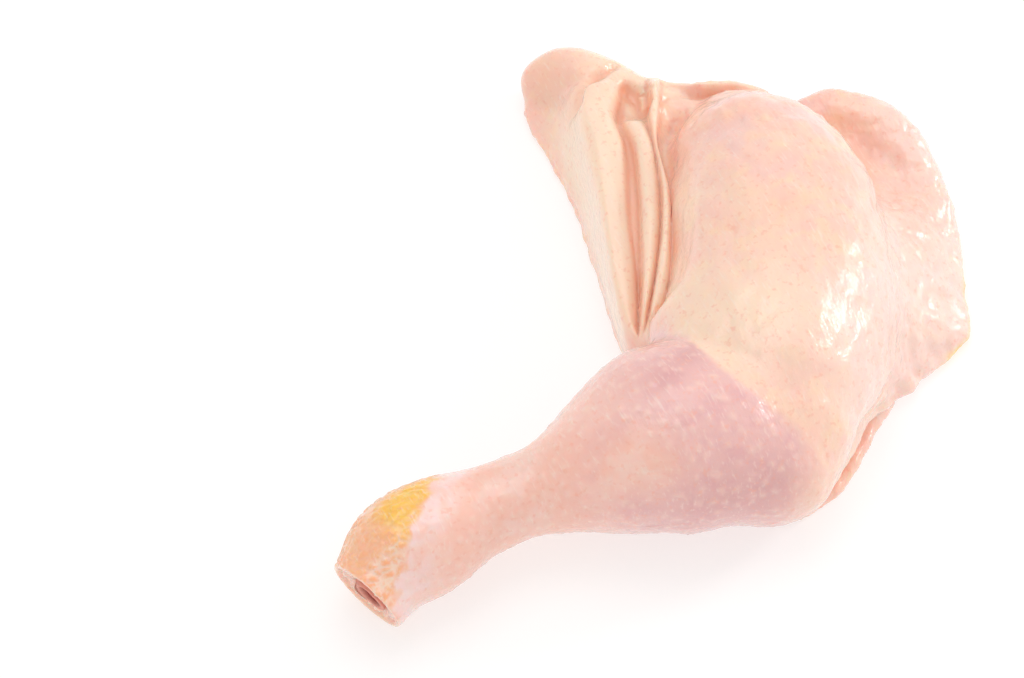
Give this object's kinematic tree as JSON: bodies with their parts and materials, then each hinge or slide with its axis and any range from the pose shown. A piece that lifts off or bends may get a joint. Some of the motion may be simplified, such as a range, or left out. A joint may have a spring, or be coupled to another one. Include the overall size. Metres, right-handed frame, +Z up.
{
  "type": "raw chicken leg quarter",
  "caption": "Raw skin-on chicken leg quarter: plump thigh and drumstick in one bent piece, folded loose skin along both sides, scaly hock cut through to the bone.",
  "frame": {"origin": "on the resting plane, below the middle of the piece's bounding box", "axes": "+Z up, skin side up; +Y from the knee to the hip end of the thigh; +X from the cut hock to the loose skin at the outer edge"},
  "size_m": [0.1736, 0.1924, 0.0484],
  "materials": {
    "skin": "moist pale raw poultry skin, satin with wet highlights",
    "bone": "moist cut bone and marrow, pink to dark red"
  },
  "bodies": {
    "root": {"leg": "skin", "shank_bone": "bone"}
  },
  "joints": []
}
